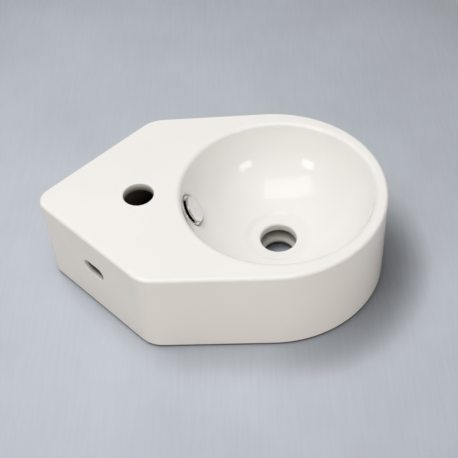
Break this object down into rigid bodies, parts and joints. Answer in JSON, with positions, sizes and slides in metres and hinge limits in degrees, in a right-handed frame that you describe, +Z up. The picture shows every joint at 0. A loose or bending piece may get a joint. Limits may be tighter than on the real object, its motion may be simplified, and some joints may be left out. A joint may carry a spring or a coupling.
{
  "type": "corner basin",
  "caption": "Wall-hung corner basin with a round bowl, a flat deck with a tap hole, two wall faces at a right angle and a push-fit overflow cover.",
  "frame": {"origin": "centre of the basin's box, on the plane it stands on", "axes": "+Z up, +X from the corner of the room to the round front, +Y to the right-hand side seen from the front"},
  "size_m": [0.395, 0.265, 0.115],
  "materials": {
    "china": "gloss white glaze, unglazed foot",
    "chromed_brass": "polished",
    "seal": "matt",
    "spring_steel": "bright"
  },
  "bodies": {
    "basin": {"basin_body": "china"},
    "overflow_cover": {"overflow_ring": "chromed_brass", "overflow_disc": "chromed_brass", "overflow_gasket": "seal", "overflow_screw": "spring_steel", "overflow_spring_leg_1": "spring_steel", "overflow_spring_leg_2": "spring_steel", "overflow_spring_leg_3": "spring_steel"}
  },
  "joints": [
    {"name": "cover_pull", "type": "slide", "parent": "basin", "child": "overflow_cover", "axis": [0.866, 0, 0.5], "range_m": [0, 0.03]}
  ]
}
